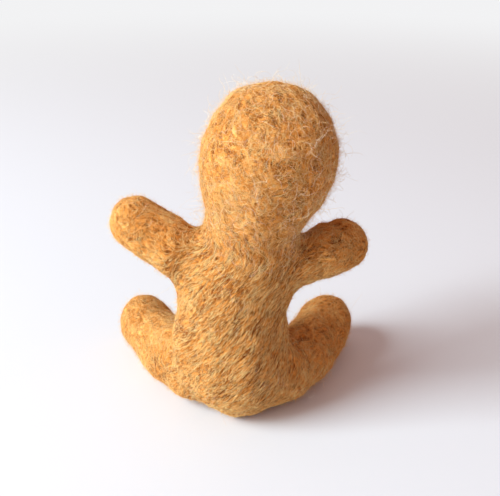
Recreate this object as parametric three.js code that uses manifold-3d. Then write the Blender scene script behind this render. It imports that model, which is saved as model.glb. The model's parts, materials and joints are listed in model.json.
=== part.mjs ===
// Seated wool doll, needle-felted in six forms: a body, a head, two arms and two legs.
// Each form is a firm core of undyed wool under a needled coat of dyed wool. The coat is open at the
// root, where the core seats in the body. Wisps of loose fibre needled over each join make the collars.
// Millimetres, +Z up. The doll faces +Y and sits on z = 0, with its right hand towards +X.

import * as THREE from 'three';
import { mergeVertices } from 'three/addons/utils/BufferGeometryUtils.js';
import Module from 'manifold-3d';

// Wool layers, and the play that is left between pieces
const coatThickness = 2;
const clearance = 0.3;
const floorGap = 0.15;

// Body: half-widths at the heights where its outline turns
const seatRadius = 3.5;
const hipRadius = 15.6;
const hipHeight = 20;
const waistRadius = 13.9;
const waistHeight = 31;
const shoulderRadius = 13.4;
const shoulderHeight = 42;
const torsoHeight = 50;
const torsoDepthRatio = 0.9;
const waistShift = -2.5;
const neckShift = 1.5;

// Head: a drop with its point in the neck, leaning to the doll's right
const neckRadius = 8.5;
const headRadius = 16;
const headCentre = 22.5;
const headLength = 39;
const headLean = 15;
const neckFlex = 8;

// Arms: one raised more than the other, both reaching a little forwards
const armRootRadius = 5.8;
const armMidRadius = 6.9;
const armMidLength = 6;
const armTipRadius = 6.3;
const armLength = 19.2;
const shoulderReach = 15.5;
const shoulderDrop = 4.4;
const shoulderRise = 1.5;
const armSweep = 28;
const leftArmRaise = 27;
const rightArmRaise = 5;
const armFlex = 15;

// Legs: splayed forwards, lying on the floor, the left one set further forward and splayed wider
const legRootRadius = 8;
const legMidRadius = 9.1;
const legMidLength = 9;
const legTipRadius = 8.2;
const legLength = 37.5;
const hipReach = 13;
const hipForward = 4;
const hipTwist = 1.2;
const hipJointHeight = 9.8;
const leftLegSplay = 30;
const rightLegSplay = 27.5;
const legFlex = 15;

// Collars: how far each fillet reaches from the crease, up the form and out over the body
const neckCollar = { length: 8, spread: 4 };
const leftShoulderCollar = { length: 8, spread: 9 };
const rightShoulderCollar = { length: 6, spread: 7 };
const hipCollar = { length: 7, spread: 5.5 };
const collarEdge = 0.7;

// Share of the root ball's radius that the coat leaves open for the core
const rootOpeningShare = 0.6;

// How much further a grown collar reaches, for each unit that it is thicker
const collarReachRatio = 4;

// Share of the way from a crease to the root's middle that a collar is sunk, before it is trimmed
const collarSinkShare = 0.4;

// Root radii that a socket reaches past its joint
const socketReachRatio = 2;

// Facets: body and head are finer than the limbs, and outer skins than the faces inside
const formFacets = { sides: 24, steps: 4, hidden: { sides: 16, steps: 2 } };
const limbFacets = { sides: 18, steps: 3, hidden: { sides: 12, steps: 2 } };
const collarFacets = { sides: 18, steps: 4 };
const measureSteps = 24;
const mergeTolerance = 1e-4;

// Wool colours
const coatColour = 0xc08a4e;
const coreColour = 0xe9dfca;
const collarColour = 0xb57f45;

const wasm = await Module();
wasm.setup();

const up = new THREE.Vector3(0, 0, 1);
const right = new THREE.Vector3(1, 0, 0);
const radians = THREE.MathUtils.degToRad;

/** Adds a stretch of outline that is upright at both of its ends. */
function addSwell(path, radiusA, heightA, radiusB, heightB) {
  const middle = (heightA + heightB) / 2;
  path.bezierCurveTo(radiusA, middle, radiusB, middle, radiusB, heightB);
}

/** Body outline from the middle of the flat seat to the top, which the neck sinks into. */
function torsoOutline() {
  const path = new THREE.Path();
  path.moveTo(0, 0);
  path.lineTo(seatRadius, 0);
  path.absellipse(seatRadius, hipHeight, hipRadius - seatRadius, hipHeight, -Math.PI / 2, 0);
  addSwell(path, hipRadius, hipHeight, waistRadius, waistHeight);
  addSwell(path, waistRadius, waistHeight, shoulderRadius, shoulderHeight);
  path.bezierCurveTo(shoulderRadius, torsoHeight, shoulderRadius, torsoHeight, 0, torsoHeight);
  return path;
}

/** Head outline from the root ball in the neck to the crown. */
function headOutline() {
  const path = new THREE.Path();
  const slope = (headRadius - neckRadius) / 3;
  path.absarc(0, 0, neckRadius, -Math.PI / 2, 0);
  path.bezierCurveTo(neckRadius + slope, headCentre / 3, headRadius, headCentre / 2, headRadius, headCentre);
  path.absellipse(0, headCentre, headRadius, headLength - headCentre, 0, Math.PI / 2);
  return path;
}

/** Outline of an arm or leg from its root ball to its round tip. */
function limbOutline({ rootRadius, midRadius, midLength, tipRadius, length }) {
  const path = new THREE.Path();
  const tipCentre = length - tipRadius;
  path.absarc(0, 0, rootRadius, -Math.PI / 2, 0);
  addSwell(path, rootRadius, 0, midRadius, midLength);
  addSwell(path, midRadius, midLength, tipRadius, tipCentre);
  path.absarc(0, tipCentre, tipRadius, 0, Math.PI / 2);
  return path;
}

/** Outline points moved inwards by a distance, or outwards by a negative one. */
function insetPoints(points, distance) {
  const last = points.length - 1;
  return points.map((point, i) => {
    if (i === 0) return new THREE.Vector2(0, point.y + distance);
    if (i === last) return new THREE.Vector2(0, point.y - distance);
    const along = points[i + 1].clone().sub(points[i - 1]).normalize();
    return new THREE.Vector2(Math.max(point.x - along.y * distance, 0), point.y + along.x * distance);
  });
}

/** Turned geometry about +Z of outline points. */
function turned(points, sides) {
  return new THREE.LatheGeometry(points, sides).rotateX(Math.PI / 2);
}

/** Turned geometry of an outline, set in by a distance. */
function revolve(outline, distance, { sides, steps }) {
  return turned(insetPoints(outline.getPoints(steps), distance), sides);
}

/** Sideways place of the body's middle line at a height. */
function spineAt(height) {
  const spine = new THREE.SplineCurve([
    new THREE.Vector2(0, 0),
    new THREE.Vector2(waistShift, torsoHeight / 2),
    new THREE.Vector2(neckShift, torsoHeight),
  ]);
  return spine.getPoint(THREE.MathUtils.clamp(height / torsoHeight, 0, 1)).x;
}

/** Bends the turned body sideways and flattens it front to back. */
function shapeTorso(geometry) {
  const position = geometry.attributes.position;
  for (let i = 0; i < position.count; i += 1) {
    position.setX(i, position.getX(i) + spineAt(position.getZ(i)));
    position.setY(i, position.getY(i) * torsoDepthRatio);
  }
  return geometry;
}

/** Closed solid of a geometry, moved by a matrix. */
function solidOf(geometry, matrix = new THREE.Matrix4()) {
  const bare = geometry.clone().applyMatrix4(matrix);
  bare.deleteAttribute('normal');
  bare.deleteAttribute('uv');
  const merged = mergeVertices(bare, mergeTolerance);
  const corners = merged.index.array;
  const kept = [];
  for (let i = 0; i < corners.length; i += 3) {
    const [a, b, c] = corners.slice(i, i + 3);
    if (a !== b && b !== c && c !== a) kept.push(a, b, c);
  }
  return new wasm.Manifold(new wasm.Mesh({
    numProp: 3,
    vertProperties: new Float32Array(merged.attributes.position.array),
    triVerts: new Uint32Array(kept),
  }));
}

/** Geometry of a solid. */
function geometryOf(solid) {
  const mesh = solid.getMesh();
  const geometry = new THREE.BufferGeometry();
  geometry.setAttribute('position', new THREE.BufferAttribute(mesh.vertProperties, mesh.numProp));
  geometry.setIndex(new THREE.BufferAttribute(mesh.triVerts, 1));
  geometry.computeVertexNormals();
  return geometry;
}

/** Named mesh of a solid in matt wool. */
function woolMesh(name, solid, color) {
  const material = new THREE.MeshStandardMaterial({ color, roughness: 0.95, metalness: 0 });
  const mesh = new THREE.Mesh(geometryOf(solid), material);
  mesh.name = name;
  return mesh;
}

/** Body solid, set in by a distance. */
function torsoSolid(distance, facets) {
  return solidOf(shapeTorso(revolve(torsoOutline(), distance, facets)));
}

/** Coat of a form: a shell, open under the root ball. */
function formCoat({ outline, facets, rootRadius }) {
  const outside = solidOf(revolve(outline, 0, facets));
  const inside = solidOf(revolve(outline, coatThickness, facets.hidden));
  return outside.subtract(inside).subtract(rootPlug(rootRadius, 0, facets));
}

/** Core of a form, with the plug that fills the coat's opening. */
function formCore({ outline, facets, rootRadius }) {
  const outside = solidOf(revolve(outline, 0, facets));
  const filling = solidOf(revolve(outline, coatThickness + clearance, facets.hidden));
  const plug = rootPlug(rootRadius, clearance, facets);
  return filling.add(plug.intersect(outside));
}

/** Cylinder of the coat's opening, from below a root ball up to its middle, set in by a distance. */
function rootPlug(rootRadius, distance, facets) {
  const radius = rootOpeningShare * rootRadius - distance;
  const length = rootRadius * 2;
  const geometry = new THREE.CylinderGeometry(radius, radius, length, facets.hidden.sides);
  return solidOf(geometry.rotateX(Math.PI / 2).translate(0, 0, -length / 2));
}

/** Group at a joint, with +Z along the form. */
function jointGroup(position, direction) {
  const group = new THREE.Group();
  group.position.copy(position);
  group.quaternion.setFromUnitVectors(up, direction);
  group.updateMatrixWorld(true);
  return group;
}

/** Unit vector at an angle from a level direction, raised by another. */
function raisedDirection(level, raise) {
  return level.clone().multiplyScalar(Math.cos(raise)).addScaledVector(up, Math.sin(raise));
}

/** Head: leans sideways about the front-to-back axis. */
function headForm() {
  const lean = radians(headLean);
  const position = new THREE.Vector3(neckShift, 0, torsoHeight);
  const direction = new THREE.Vector3(Math.sin(lean), 0, Math.cos(lean));
  return {
    name: 'head',
    collarName: 'neck_collar',
    collar: neckCollar,
    outline: headOutline(),
    rootRadius: neckRadius,
    facets: formFacets,
    flex: radians(neckFlex),
    axis: new THREE.Vector3(0, 1, 0),
    group: jointGroup(position, direction),
  };
}

/** Arm on one side, -1 for the left and 1 for the right: lifts about a level axis. */
function armForm(name, side, raise, collar) {
  const sweep = radians(armSweep);
  const level = new THREE.Vector3(side * Math.cos(sweep), Math.sin(sweep), 0);
  const height = torsoHeight - shoulderDrop - side * shoulderRise;
  const position = new THREE.Vector3(side * shoulderReach, 0, height);
  return {
    name: `arm_${name}`,
    collarName: `shoulder_${name}_collar`,
    collar,
    outline: limbOutline({
      rootRadius: armRootRadius,
      midRadius: armMidRadius,
      midLength: armMidLength,
      tipRadius: armTipRadius,
      length: armLength,
    }),
    rootRadius: armRootRadius,
    facets: limbFacets,
    flex: radians(armFlex),
    axis: level.clone().cross(up),
    group: jointGroup(position, raisedDirection(level, raise)),
  };
}

/** Leg on one side: slopes down until its foot lies on the floor, and lifts about a level axis. */
function legForm(name, side, splay) {
  const level = new THREE.Vector3(side * Math.sin(splay), Math.cos(splay), 0);
  const position = new THREE.Vector3(side * hipReach, hipForward - side * hipTwist, hipJointHeight);
  const slope = Math.asin((hipJointHeight - legTipRadius - floorGap) / (legLength - legTipRadius));
  return {
    name: `leg_${name}`,
    collarName: `hip_${name}_collar`,
    collar: hipCollar,
    outline: limbOutline({
      rootRadius: legRootRadius,
      midRadius: legMidRadius,
      midLength: legMidLength,
      tipRadius: legTipRadius,
      length: legLength,
    }),
    rootRadius: legRootRadius,
    facets: limbFacets,
    flex: radians(legFlex),
    axis: level.clone().cross(up),
    group: jointGroup(position, raisedDirection(level, -slope)),
  };
}

/** Room that a form takes up at rest, with the play around it. */
function restRoom({ outline, facets, group }) {
  return solidOf(revolve(outline, -clearance, facets), group.matrixWorld);
}

/** Largest half-width of a form. */
function widest({ outline, facets }) {
  return Math.max(...outline.getPoints(facets.steps).map((point) => point.x));
}

/** Outline of the room that a form sweeps: its root ball, then its side tipped by the flex. */
function flaredPoints({ outline, facets, rootRadius, flex }) {
  const ball = new THREE.Path();
  ball.absarc(0, 0, rootRadius + clearance, -Math.PI / 2, -flex);
  const centre = new THREE.Vector2(0, 0);
  const side = insetPoints(outline.getPoints(facets.steps), -clearance)
    .filter((point) => point.y > 0 && point.y < rootRadius * socketReachRatio)
    .map((point) => point.rotateAround(centre, -flex));
  const mouth = new THREE.Vector2(0, side[side.length - 1].y);
  return [...ball.getPoints(facets.hidden.steps), ...side, mouth];
}

/** Socket that lets a form flex: a ball with a flared mouth, no wider than the form along its axis. */
function socket(form) {
  const { group, facets, axis } = form;
  const points = flaredPoints(form);
  const flared = solidOf(turned(points, facets.hidden.sides), group.matrixWorld);
  const width = 2 * (widest(form) + clearance);
  const span = 4 * Math.max(...points.map((point) => point.length()));
  const facing = new THREE.Matrix4();
  facing.makeRotationFromQuaternion(new THREE.Quaternion().setFromUnitVectors(right, axis));
  facing.setPosition(group.position);
  return flared.intersect(solidOf(new THREE.BoxGeometry(width, span, span), facing));
}

/** A point as half-width and height on the body's upright outline, with its bearing round the spine. */
function unbend(point) {
  const across = point.x - spineAt(point.z);
  const forward = point.y / torsoDepthRatio;
  const flat = new THREE.Vector2(Math.hypot(across, forward), point.z);
  return { flat, bearing: Math.atan2(forward, across) };
}

/** The point of the body at a half-width, height and bearing. */
function bend(flat, bearing) {
  const across = flat.x * Math.cos(bearing);
  const forward = flat.x * Math.sin(bearing);
  return new THREE.Vector3(across + spineAt(flat.y), forward * torsoDepthRatio, flat.y);
}

/** Place in an outline of the point nearest to another. */
function nearestIndex(flat, outlinePoints) {
  const distances = outlinePoints.map((other) => other.distanceTo(flat));
  return distances.indexOf(Math.min(...distances));
}

/** A point, moved out to an outline where it is inside it. */
function liftOff(flat, outlinePoints) {
  const nearest = nearestIndex(flat, outlinePoints);
  const before = outlinePoints[Math.max(nearest - 1, 0)];
  const along = outlinePoints[Math.min(nearest + 1, outlinePoints.length - 1)].clone().sub(before);
  const isInside = along.cross(flat.clone().sub(outlinePoints[nearest])) > 0;
  return isInside ? outlinePoints[nearest] : flat;
}

/** Point on a form's skin, at one of its outline points and a bearing round its axis. */
function skinPoint(group, flat, bearing) {
  const local = new THREE.Vector3(flat.x * Math.cos(bearing), flat.x * Math.sin(bearing), flat.y);
  return local.applyMatrix4(group.matrixWorld);
}

/** A point, moved out of a form and then of the body where it is inside their raised outlines. */
function liftOffSkins(point, group, formRaised, bodyRaised) {
  const local = point.clone().applyMatrix4(group.matrixWorld.clone().invert());
  const formFlat = liftOff(new THREE.Vector2(Math.hypot(local.x, local.y), local.z), formRaised);
  const offForm = skinPoint(group, formFlat, Math.atan2(local.y, local.x));
  const { flat, bearing } = unbend(offForm);
  return bend(liftOff(flat, bodyRaised), bearing);
}

/** Place in a form's raised outline, from the tip, where it first enters the body at a bearing. */
function creaseIndex(group, bearing, formRaised, bodyRaised) {
  for (let i = formRaised.length - 1; i > 0; i -= 1) {
    const { flat } = unbend(skinPoint(group, formRaised[i], bearing));
    if (liftOff(flat, bodyRaised) !== flat) return i;
  }
  return 0;
}

/** Fillet at one bearing round a form, as a loop: a hollow curve over the crease, its edges raised off
 *  the form's skin and the body's, then back through the insides of both. */
function filletLoop({ outline, rootRadius, collar, group }, bearing, growth) {
  const edge = collarEdge + growth;
  const reach = growth * collarReachRatio;
  const formPoints = outline.getPoints(measureSteps);
  const bodyPoints = torsoOutline().getPoints(measureSteps);
  const [formRaised, formSunk] = [-edge, edge].map((drop) => insetPoints(formPoints, drop));
  const [bodyRaised, bodySunk] = [-edge, edge].map((drop) => insetPoints(bodyPoints, drop));
  const crease = creaseIndex(group, bearing, formRaised, bodyRaised);
  const top = formRaised.findIndex(
    (flat, i) => i > crease && flat.distanceTo(formRaised[crease]) >= collar.length + reach,
  );
  const corner = skinPoint(group, formRaised[crease], bearing);
  const outwards = skinPoint(group, new THREE.Vector2(collar.spread + reach, 0), bearing);
  const reached = unbend(corner.clone().add(outwards.sub(group.position)));
  const foot = nearestIndex(reached.flat, bodyRaised);
  const curve = new THREE.QuadraticBezierCurve3(
    skinPoint(group, formRaised[top], bearing),
    corner,
    bend(bodyRaised[foot], reached.bearing),
  );
  const middle = skinPoint(group, new THREE.Vector2(0, -rootRadius / 2), bearing);
  return [
    ...curve.getPoints(collarFacets.steps).map((p) => liftOffSkins(p, group, formRaised, bodyRaised)),
    bend(bodySunk[foot], reached.bearing),
    corner.lerp(middle, collarSinkShare),
    skinPoint(group, formSunk[top], bearing),
  ];
}

/** Ring lofted through fillets all round a form's root, grown by a distance. */
function collarRing(form, growth) {
  const { sides } = collarFacets;
  const bearings = Array.from({ length: sides }, (_, i) => (i / sides) * Math.PI * 2);
  const loops = bearings.map((bearing) => filletLoop(form, bearing, growth));
  const count = loops[0].length;
  const corners = [];
  for (let i = 0; i < sides; i += 1) {
    for (let k = 0; k < count; k += 1) {
      const here = i * count;
      const next = ((i + 1) % sides) * count;
      const after = (k + 1) % count;
      corners.push(here + k, here + after, next + k, next + k, here + after, next + after);
    }
  }
  const geometry = new THREE.BufferGeometry().setFromPoints(loops.flat());
  geometry.setIndex(corners);
  return solidOf(geometry);
}

/** Slab under the floor line, which keeps loose fibre off the floor. */
function floorSlab() {
  const size = torsoHeight * 2;
  return solidOf(new THREE.BoxGeometry(size, size, size).translate(0, 0, floorGap - size / 2));
}

/** Collars of every form, each trimmed by the body, the forms and the collars before it. */
function collarMeshes(forms) {
  const bodyRoom = torsoSolid(-clearance, formFacets).add(floorSlab());
  let taken = forms.reduce((room, form) => room.add(restRoom(form)), bodyRoom);
  return forms.map((form) => {
    const collar = collarRing(form, 0).subtract(taken);
    taken = taken.add(collarRing(form, clearance));
    return woolMesh(form.collarName, collar, collarColour);
  });
}

/** Body core and coat, with a socket for every form that seats in them. */
function torsoMeshes(forms) {
  const sockets = forms.map(socket).reduce((all, room) => all.add(room));
  const outside = torsoSolid(0, formFacets);
  const inside = torsoSolid(coatThickness, formFacets.hidden);
  const filling = torsoSolid(coatThickness + clearance, formFacets.hidden);
  return [
    woolMesh('torso_coat', outside.subtract(inside).subtract(sockets), coatColour),
    woolMesh('torso_core', filling.subtract(sockets), coreColour),
  ];
}

/** Fills a form's group with its core and coat. */
function fillForm(form) {
  form.group.add(woolMesh(`${form.name}_coat`, formCoat(form), coatColour));
  form.group.add(woolMesh(`${form.name}_core`, formCore(form), coreColour));
  return form.group;
}

const forms = [
  headForm(),
  armForm('left', -1, radians(leftArmRaise), leftShoulderCollar),
  armForm('right', 1, radians(rightArmRaise), rightShoulderCollar),
  legForm('left', -1, radians(leftLegSplay)),
  legForm('right', 1, radians(rightLegSplay)),
];

const doll = new THREE.Group();
doll.name = 'felt_doll';
doll.add(...torsoMeshes(forms), ...collarMeshes(forms), ...forms.map(fillForm));

export default doll;
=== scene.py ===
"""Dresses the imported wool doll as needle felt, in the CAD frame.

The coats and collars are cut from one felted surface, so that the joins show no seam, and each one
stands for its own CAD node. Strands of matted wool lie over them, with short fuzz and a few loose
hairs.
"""

import itertools
import json
import logging
import math
from abc import ABC, abstractmethod
from dataclasses import dataclass, field, replace
from enum import Enum
from functools import cache

import bpy
import numpy as np
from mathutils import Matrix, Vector
from mathutils.bvhtree import BVHTree
from mathutils.kdtree import KDTree


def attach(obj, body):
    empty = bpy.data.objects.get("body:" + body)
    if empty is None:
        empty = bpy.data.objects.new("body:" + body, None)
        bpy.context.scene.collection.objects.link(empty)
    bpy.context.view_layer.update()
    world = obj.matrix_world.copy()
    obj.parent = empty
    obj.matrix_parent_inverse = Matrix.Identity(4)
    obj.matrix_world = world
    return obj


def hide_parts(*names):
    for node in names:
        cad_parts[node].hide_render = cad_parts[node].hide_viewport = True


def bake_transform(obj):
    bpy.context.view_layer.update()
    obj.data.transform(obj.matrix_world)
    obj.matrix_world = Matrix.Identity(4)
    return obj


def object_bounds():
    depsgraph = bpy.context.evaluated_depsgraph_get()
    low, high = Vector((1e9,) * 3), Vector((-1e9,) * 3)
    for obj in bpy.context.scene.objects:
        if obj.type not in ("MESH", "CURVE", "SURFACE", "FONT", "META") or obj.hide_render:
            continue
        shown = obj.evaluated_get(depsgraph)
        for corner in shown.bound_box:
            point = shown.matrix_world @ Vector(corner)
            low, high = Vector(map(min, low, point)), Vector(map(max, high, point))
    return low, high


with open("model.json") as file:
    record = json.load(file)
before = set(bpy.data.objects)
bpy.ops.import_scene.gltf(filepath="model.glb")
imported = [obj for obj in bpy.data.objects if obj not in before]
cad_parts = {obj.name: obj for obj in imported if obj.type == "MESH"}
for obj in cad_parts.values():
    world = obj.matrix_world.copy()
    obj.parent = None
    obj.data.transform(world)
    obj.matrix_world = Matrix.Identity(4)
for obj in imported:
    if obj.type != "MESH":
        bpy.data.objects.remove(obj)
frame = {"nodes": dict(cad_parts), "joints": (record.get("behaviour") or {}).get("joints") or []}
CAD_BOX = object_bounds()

Array = np.ndarray
Colour = tuple[float, float, float, float]

MM = 0.001
SEED = 17
ROOT_BODY = "torso"
HEAD_BODY = "head"
TORSO_COAT = "torso_coat"
TORSO_CORE = "torso_core"
BAKE_MAP = "OFBake"
FIBRE_MAP = "fibre"
PLACE_ATTRIBUTE = "felt_place"
TONE_ATTRIBUTE = "felt_tone"
PIT_ATTRIBUTE = "felt_pit"
RING = 3
SMOOTHING = 0.5
WAVES = 40
WAVE_LENGTHS = (0.75, 1.4)
CELL_FACTORS = (73856093, 19349663, 83492791)
SEED_FACTOR = 2654435761
MIX_SHIFTS = (33, 29, 32)
MIX_FACTOR = 0xFF51AFD7ED558CCD
WORD_BITS = 64
KEPT_BITS = 24
LEAST_LENGTH = 1e-12
NUDGE = 1e-9

log = logging.getLogger("doll")


class Slot(Enum):
    """Wools of the record."""

    COAT = "coat_wool"
    CORE = "core_wool"
    COLLAR = "collar_wool"


# Small helpers


def unit(vectors: Array) -> Array:
    """Vectors brought to length one."""
    return vectors / np.maximum(np.linalg.norm(vectors, axis=-1, keepdims=True), LEAST_LENGTH)


def turned(vectors: Array, axes: Array, angles: Array) -> Array:
    """Vectors turned about unit axes.

    Args:
        vectors: Rows to turn.
        axes: A unit axis for each row.
        angles: An angle for each row, in radians.

    Returns:
        The turned rows.
    """
    cosine = np.cos(angles)[:, None]
    sine = np.sin(angles)[:, None]
    along = np.sum(vectors * axes, axis=1, keepdims=True)
    return vectors * cosine + np.cross(axes, vectors) * sine + axes * along * (1 - cosine)


def smoothstep(low: float, high: float, values: Array) -> Array:
    """Smooth rise from 0 at low to 1 at high."""
    share = np.clip((values - low) / (high - low), 0, 1)
    return share * share * (3 - 2 * share)


def ramp(pair: tuple[float, float], share: Array) -> Array:
    """Values from the first of a pair, where the share is 0, to the second, where it is 1."""
    return pair[0] + (pair[1] - pair[0]) * share


@dataclass(frozen=True)
class Swell:
    """Smooth random field, made of waves in random directions.

    The length is the usual distance from crest to crest, and the height is the spread of the field.
    """

    length: float
    height: float
    seed: int

    def at(self, points: Array) -> Array:
        """Works out the field.

        Args:
            points: Where it is read.

        Returns:
            One value for each point.
        """
        rng = np.random.default_rng(self.seed)
        directions = unit(rng.normal(size=(WAVES, 3)))
        lengths = self.length * rng.uniform(*WAVE_LENGTHS, WAVES)
        phases = rng.uniform(0, math.tau, WAVES)
        waves = np.sin(points @ (directions * (math.tau / lengths)[:, None]).T + phases)
        return waves.sum(axis=1) * math.sqrt(2 / WAVES) * self.height


def scattered(cells: Array, seed: int) -> Array:
    """Random value for each cell.

    Args:
        cells: Rows of three whole numbers.
        seed: Picks the values.

    Returns:
        One value from 0 to 1 for each row.
    """
    factors = np.array(CELL_FACTORS, dtype=np.uint64)
    mixed = (cells.astype(np.int64).astype(np.uint64) * factors).sum(axis=1)
    mixed = mixed + np.uint64(seed * SEED_FACTOR)
    for shift in MIX_SHIFTS:
        mixed = (mixed ^ (mixed >> np.uint64(shift))) * np.uint64(MIX_FACTOR)
    return (mixed >> np.uint64(WORD_BITS - KEPT_BITS)).astype(float) / 2**KEPT_BITS


def grain(points: Array, cell: float, seed: int) -> Array:
    """Random field with features as small as a cell.

    Args:
        points: Where the field is read.
        cell: Size of a cell.
        seed: Picks the values at the cells' corners.

    Returns:
        One value from 0 to 1 for each point.
    """
    scaled = points / cell
    base = np.floor(scaled)
    part = smoothstep(0, 1, scaled - base)
    total = np.zeros(len(points))
    for corner in itertools.product((0, 1), repeat=3):
        weight = np.prod(np.where(np.array(corner) == 1, part, 1 - part), axis=1)
        total += weight * scattered(base + corner, seed)
    return total


def select_only(objects: list[bpy.types.Object]) -> None:
    """Selects these objects alone.

    Args:
        objects: What is selected, the first of them active.
    """
    bpy.ops.object.select_all(action="DESELECT")
    for item in objects:
        item.select_set(True)
    bpy.context.view_layer.objects.active = objects[0]


def apply_modifier(item: bpy.types.Object, kind: str, **settings: object) -> None:
    """Adds a modifier and applies it.

    Args:
        item: The object that takes it.
        kind: Type of the modifier.
        settings: Its properties.
    """
    select_only([item])
    modifier = item.modifiers.new(kind.lower(), kind)
    for name, value in settings.items():
        setattr(modifier, name, value)
    bpy.ops.object.modifier_apply(modifier=modifier.name)


def node_points(node: str) -> Array:
    """Vertices of a CAD node."""
    return read_points(frame["nodes"][node].data)


def read_vectors(source: bpy.types.bpy_prop_collection, name: str) -> Array:
    """Reads a vector from each item of a mesh's collection.

    Args:
        source: The collection.
        name: Name of the vector.

    Returns:
        A row for each item.
    """
    values = np.empty(len(source) * 3, np.float32)
    source.foreach_get(name, values)
    return values.reshape(-1, 3).astype(float)


def read_points(mesh: bpy.types.Mesh) -> Array:
    """Vertices of a mesh."""
    return read_vectors(mesh.vertices, "co")


def read_normals(mesh: bpy.types.Mesh) -> Array:
    """Vertex normals of a mesh."""
    return read_vectors(mesh.vertex_normals, "vector")


def read_corners(mesh: bpy.types.Mesh) -> Array:
    """Reads the corners of a mesh's faces, one face after the other.

    Args:
        mesh: The mesh.

    Returns:
        The vertex at each corner.
    """
    corners = np.empty(len(mesh.loops), np.int32)
    mesh.loops.foreach_get("vertex_index", corners)
    return corners


def quad_sides(quads: Array) -> Array:
    """Sides of quads, each as the two vertices that it runs between."""
    return np.concatenate([quads[:, [k, (k + 1) % 4]] for k in range(4)])


def write_points(mesh: bpy.types.Mesh, points: Array) -> None:
    """Moves the vertices of a mesh."""
    mesh.vertices.foreach_set("co", points.astype(np.float32).ravel())
    mesh.update()


def loose_copy(node: str) -> bpy.types.Object:
    """Copies a CAD node.

    Args:
        node: Name of the node.

    Returns:
        The copy, with a mesh of its own and on no body.
    """
    source = frame["nodes"][node]
    copy = bpy.data.objects.new(f"{node}_copy", source.data.copy())
    bpy.context.scene.collection.objects.link(copy)
    return copy


def add_mesh(name: str, points: Array, faces: list[Array]) -> bpy.types.Object:
    """New mesh object.

    Args:
        name: Name of the piece.
        points: Its vertices.
        faces: Arrays of faces, each array with one number of corners.

    Returns:
        The object, shaded smooth.
    """
    mesh = bpy.data.meshes.new(name)
    corners = np.concatenate([group.ravel() for group in faces])
    sizes = np.concatenate([np.full(len(group), group.shape[1]) for group in faces])
    mesh.vertices.add(len(points))
    mesh.vertices.foreach_set("co", points.astype(np.float32).ravel())
    mesh.loops.add(len(corners))
    mesh.loops.foreach_set("vertex_index", corners.astype(np.int32))
    mesh.polygons.add(len(sizes))
    mesh.polygons.foreach_set("loop_start", (np.cumsum(sizes) - sizes).astype(np.int32))
    mesh.update(calc_edges=True)
    mesh.shade_smooth()
    item = bpy.data.objects.new(name, mesh)
    bpy.context.scene.collection.objects.link(item)
    return item


def set_map(mesh: bpy.types.Mesh, name: str, places: Array) -> None:
    """Adds a UV map.

    Args:
        mesh: The mesh that takes it.
        name: Name of the map.
        places: A place on the map for each vertex.
    """
    layer = mesh.uv_layers.new(name=name)
    layer.uv.foreach_set("vector", places[read_corners(mesh)].astype(np.float32).ravel())


def set_attribute(mesh: bpy.types.Mesh, name: str, values: Array) -> None:
    """Stores a value at each vertex.

    Args:
        mesh: The mesh that takes it.
        name: Name of the attribute.
        values: A number or a vector for each vertex.
    """
    is_vector = values.ndim == 2
    kind = "FLOAT_VECTOR" if is_vector else "FLOAT"
    layer = mesh.attributes.new(name, kind, "POINT")
    layer.data.foreach_set("vector" if is_vector else "value", values.astype(np.float32).ravel())


# Finishes, with noise scales in features for each millimetre

HAIR_SCALE, HAIR_DETAIL = 2.6, 3.0
PATCH_SCALE, PATCH_DETAIL = 0.16, 2.0
RELIEF_SCALE, RELIEF_DETAIL = 4.0, 3.0
STAIN = 0.5
BODY_TONES = (0.0, 0.5)
BLOOM_TONES = (0.5, 1.1)


@dataclass
class NodeSketch:
    """Node tree that is built up node by node."""

    tree: bpy.types.NodeTree

    def node(self, kind: str, inputs: dict | None = None, **settings: object) -> bpy.types.Node:
        """Adds a node.

        Args:
            kind: Its type, without the leading ShaderNode.
            inputs: Values or output sockets for its inputs.
            settings: Properties of the node.

        Returns:
            The node.
        """
        name = kind if kind.startswith("NodeGroup") else f"ShaderNode{kind}"
        made = self.tree.nodes.new(name)
        for setting, value in settings.items():
            setattr(made, setting, value)
        for socket, value in (inputs or {}).items():
            self.feed(made.inputs[socket], value)
        return made

    def feed(self, socket: bpy.types.NodeSocket, value: object) -> None:
        """Links an output socket to an input, or sets the input's value.

        Args:
            socket: The input.
            value: The output socket or the value.
        """
        if isinstance(value, bpy.types.NodeSocket):
            self.tree.links.new(value, socket)
        else:
            socket.default_value = value

    def math(self, operation: str, *values: object) -> bpy.types.NodeSocket:
        """Result of a Math node."""
        inputs = dict(enumerate(values))
        return self.node("Math", inputs, operation=operation).outputs[0]

    def rise(self, value: object, low: float, high: float) -> bpy.types.NodeSocket:
        """Smooth rise from 0 at low to 1 at high."""
        inputs = {"Value": value, "From Min": low, "From Max": high}
        return self.node("MapRange", inputs, interpolation_type="SMOOTHSTEP").outputs["Result"]

    def mix(self, share: object, first: object, second: object) -> bpy.types.NodeSocket:
        """Mixes two colours.

        Args:
            share: Share of the second colour.
            first: The first colour.
            second: The second colour.

        Returns:
            The mixed colour.
        """
        made = self.node("Mix", data_type="RGBA")
        for index, value in ((0, share), (6, first), (7, second)):
            self.feed(made.inputs[index], value)
        return made.outputs[2]

    def noise(self, place: object, scale: float, detail: float) -> bpy.types.NodeSocket:
        """Noise texture value."""
        inputs = {"Vector": place, "Scale": scale, "Detail": detail}
        return self.node("TexNoise", inputs).outputs["Fac"]

    def stain(self, place: object, scale: float, detail: float) -> bpy.types.NodeSocket:
        """Noise about zero, which shifts a tone."""
        return self.math("MULTIPLY_ADD", self.noise(place, scale, detail), STAIN, -STAIN / 2)


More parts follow.
